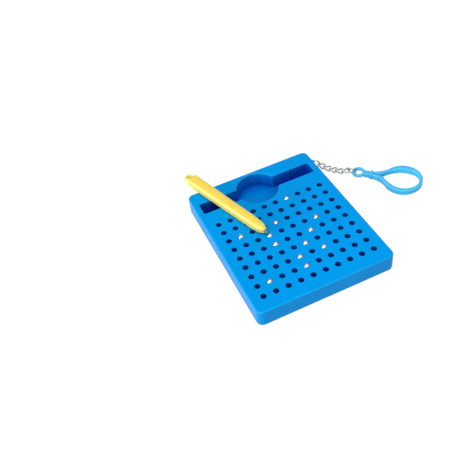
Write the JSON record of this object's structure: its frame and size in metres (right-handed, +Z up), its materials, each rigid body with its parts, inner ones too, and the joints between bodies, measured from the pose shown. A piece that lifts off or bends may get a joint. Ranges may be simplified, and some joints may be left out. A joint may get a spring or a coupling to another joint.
{
  "type": "magnetic ball drawing board",
  "caption": "Pocket drawing board: a magnetic stylus pulls steel balls up in a grid of holes. It has a stylus tray with a finger scoop and a chain with a snap hook.",
  "frame": {"origin": "middle of the board's underside, on the table", "axes": "+X towards the side with the chain, +Y towards the stylus tray, +Z up out of the drawing face"},
  "size_m": [0.1295, 0.109, 0.0165],
  "materials": {
    "case_blue": "moulded, satin gloss",
    "tray_plastic": "moulded",
    "sheet_silicone": "soft matt",
    "screw_steel": "zinc plated",
    "ball_steel": "polished",
    "stylus_yellow": "moulded, satin gloss",
    "magnet_steel": "nickel plated",
    "chain_steel": "nickel plated wire",
    "clip_blue": "moulded, glossy"
  },
  "bodies": {
    "board": {"top_shell": "case_blue", "back_cover": "case_blue", "ball_tray": "tray_plastic", "retaining_sheet": "sheet_silicone", "case_screws": "screw_steel"},
    "raised_ball_01": {"raised_ball_01": "ball_steel"},
    "raised_ball_02": {"raised_ball_02": "ball_steel"},
    "raised_ball_03": {"raised_ball_03": "ball_steel"},
    "raised_ball_04": {"raised_ball_04": "ball_steel"},
    "raised_ball_05": {"raised_ball_05": "ball_steel"},
    "raised_ball_06": {"raised_ball_06": "ball_steel"},
    "raised_ball_07": {"raised_ball_07": "ball_steel"},
    "raised_ball_08": {"raised_ball_08": "ball_steel"},
    "raised_ball_09": {"raised_ball_09": "ball_steel"},
    "raised_ball_10": {"raised_ball_10": "ball_steel"},
    "raised_ball_11": {"raised_ball_11": "ball_steel"},
    "raised_ball_12": {"raised_ball_12": "ball_steel"},
    "lowered_balls_row_1": {"lowered_balls_row_1": "ball_steel"},
    "lowered_balls_row_2": {"lowered_balls_row_2": "ball_steel"},
    "lowered_balls_row_3": {"lowered_balls_row_3": "ball_steel"},
    "lowered_balls_row_4": {"lowered_balls_row_4": "ball_steel"},
    "lowered_balls_row_5": {"lowered_balls_row_5": "ball_steel"},
    "lowered_balls_row_6": {"lowered_balls_row_6": "ball_steel"},
    "lowered_balls_row_7": {"lowered_balls_row_7": "ball_steel"},
    "lowered_balls_row_8": {"lowered_balls_row_8": "ball_steel"},
    "lowered_balls_row_9": {"lowered_balls_row_9": "ball_steel"},
    "lowered_balls_under_stylus": {"lowered_balls_under_stylus": "ball_steel"},
    "stylus": {"stylus_barrel": "stylus_yellow", "stylus_magnet": "magnet_steel"},
    "chain_link_1": {"chain_link_1": "chain_steel"},
    "chain_link_2": {"chain_link_2": "chain_steel"},
    "chain_link_3": {"chain_link_3": "chain_steel"},
    "chain_link_4": {"chain_link_4": "chain_steel"},
    "chain_link_5": {"chain_link_5": "chain_steel"},
    "chain_link_6": {"chain_link_6": "chain_steel"},
    "chain_link_7": {"chain_link_7": "chain_steel"},
    "clip": {"clip_body": "clip_blue"},
    "gate": {"clip_gate": "clip_blue"}
  },
  "joints": [
    {"name": "raised_ball_01_press", "type": "slide", "parent": "board", "child": "raised_ball_01", "axis": [0, 0, 1], "range_m": [-0.00424, 0]},
    {"name": "raised_ball_02_press", "type": "slide", "parent": "board", "child": "raised_ball_02", "axis": [0, 0, 1], "range_m": [-0.00424, 0]},
    {"name": "raised_ball_03_press", "type": "slide", "parent": "board", "child": "raised_ball_03", "axis": [0, 0, 1], "range_m": [-0.00424, 0]},
    {"name": "raised_ball_04_press", "type": "slide", "parent": "board", "child": "raised_ball_04", "axis": [0, 0, 1], "range_m": [-0.00424, 0]},
    {"name": "raised_ball_05_press", "type": "slide", "parent": "board", "child": "raised_ball_05", "axis": [0, 0, 1], "range_m": [-0.00424, 0]},
    {"name": "raised_ball_06_press", "type": "slide", "parent": "board", "child": "raised_ball_06", "axis": [0, 0, 1], "range_m": [-0.00424, 0]},
    {"name": "raised_ball_07_press", "type": "slide", "parent": "board", "child": "raised_ball_07", "axis": [0, 0, 1], "range_m": [-0.00424, 0]},
    {"name": "raised_ball_08_press", "type": "slide", "parent": "board", "child": "raised_ball_08", "axis": [0, 0, 1], "range_m": [-0.00424, 0]},
    {"name": "raised_ball_09_press", "type": "slide", "parent": "board", "child": "raised_ball_09", "axis": [0, 0, 1], "range_m": [-0.00424, 0]},
    {"name": "raised_ball_10_press", "type": "slide", "parent": "board", "child": "raised_ball_10", "axis": [0, 0, 1], "range_m": [-0.00424, 0]},
    {"name": "raised_ball_11_press", "type": "slide", "parent": "board", "child": "raised_ball_11", "axis": [0, 0, 1], "range_m": [-0.00424, 0]},
    {"name": "raised_ball_12_press", "type": "slide", "parent": "board", "child": "raised_ball_12", "axis": [0, 0, 1], "range_m": [-0.00424, 0]},
    {"name": "lowered_balls_row_1_lift", "type": "slide", "parent": "board", "child": "lowered_balls_row_1", "axis": [0, 0, 1], "range_m": [0, 0.00424]},
    {"name": "lowered_balls_row_2_lift", "type": "slide", "parent": "board", "child": "lowered_balls_row_2", "axis": [0, 0, 1], "range_m": [0, 0.00424]},
    {"name": "lowered_balls_row_3_lift", "type": "slide", "parent": "board", "child": "lowered_balls_row_3", "axis": [0, 0, 1], "range_m": [0, 0.00424]},
    {"name": "lowered_balls_row_4_lift", "type": "slide", "parent": "board", "child": "lowered_balls_row_4", "axis": [0, 0, 1], "range_m": [0, 0.00424]},
    {"name": "lowered_balls_row_5_lift", "type": "slide", "parent": "board", "child": "lowered_balls_row_5", "axis": [0, 0, 1], "range_m": [0, 0.00424]},
    {"name": "lowered_balls_row_6_lift", "type": "slide", "parent": "board", "child": "lowered_balls_row_6", "axis": [0, 0, 1], "range_m": [0, 0.00424]},
    {"name": "lowered_balls_row_7_lift", "type": "slide", "parent": "board", "child": "lowered_balls_row_7", "axis": [0, 0, 1], "range_m": [0, 0.00424]},
    {"name": "lowered_balls_row_8_lift", "type": "slide", "parent": "board", "child": "lowered_balls_row_8", "axis": [0, 0, 1], "range_m": [0, 0.00424]},
    {"name": "lowered_balls_row_9_lift", "type": "slide", "parent": "board", "child": "lowered_balls_row_9", "axis": [0, 0, 1], "range_m": [0, 0.00424]},
    {"name": "lowered_balls_under_stylus_lift", "type": "slide", "parent": "board", "child": "lowered_balls_under_stylus", "axis": [0, 0, 1], "range_m": [0, 0.00349]},
    {"name": "stylus_lift", "type": "slide", "parent": "board", "child": "stylus", "axis": [0, 0, 1], "range_m": [0, 0.05]},
    {"name": "chain_joint_1", "type": "hinge", "parent": "board", "child": "chain_link_1", "pos_m": [0.041, 0.0446, 0.0031], "axis": [0, 0, 1], "range_deg": [-25, 25]},
    {"name": "chain_joint_2", "type": "hinge", "parent": "chain_link_1", "child": "chain_link_2", "pos_m": [0.04512, 0.04102, 0.00238], "axis": [-0.3148, -0.174, -0.9331], "range_deg": [-25, 25]},
    {"name": "chain_joint_3", "type": "hinge", "parent": "chain_link_2", "child": "chain_link_3", "pos_m": [0.04707, 0.03778, 0.00164], "axis": [0.6903, 0.2996, 0.6586], "range_deg": [-25, 25]},
    {"name": "chain_joint_4", "type": "hinge", "parent": "chain_link_3", "child": "chain_link_4", "pos_m": [0.04939, 0.03475, 0.00116], "axis": [-0.646, -0.3758, -0.6644], "range_deg": [-25, 25]},
    {"name": "chain_joint_5", "type": "hinge", "parent": "chain_link_4", "child": "chain_link_5", "pos_m": [0.05194, 0.03187, 0.00122], "axis": [0.5601, 0.4869, 0.6703], "range_deg": [-25, 25]},
    {"name": "chain_joint_6", "type": "hinge", "parent": "chain_link_5", "child": "chain_link_6", "pos_m": [0.05473, 0.02923, 0.00122], "axis": [-0.5155, -0.5338, -0.6703], "range_deg": [-25, 25]},
    {"name": "chain_joint_7", "type": "hinge", "parent": "chain_link_6", "child": "chain_link_7", "pos_m": [0.05763, 0.02703, 0.00253], "axis": [0.2962, 0.7104, 0.6385], "range_deg": [-25, 25]},
    {"name": "clip_swing", "type": "hinge", "parent": "chain_link_7", "child": "clip", "pos_m": [0.0601, 0.02405, 0.00243], "axis": [-0.0364, -0.0181, 0.9992], "range_deg": [-30, 30]},
    {"name": "gate_flex", "type": "hinge", "parent": "clip", "child": "gate", "pos_m": [0.0686, 0.01695, 0.0018], "axis": [0, 0, -1], "range_deg": [0, 14], "stiffness_Nm_per_rad": 0.02}
  ]
}
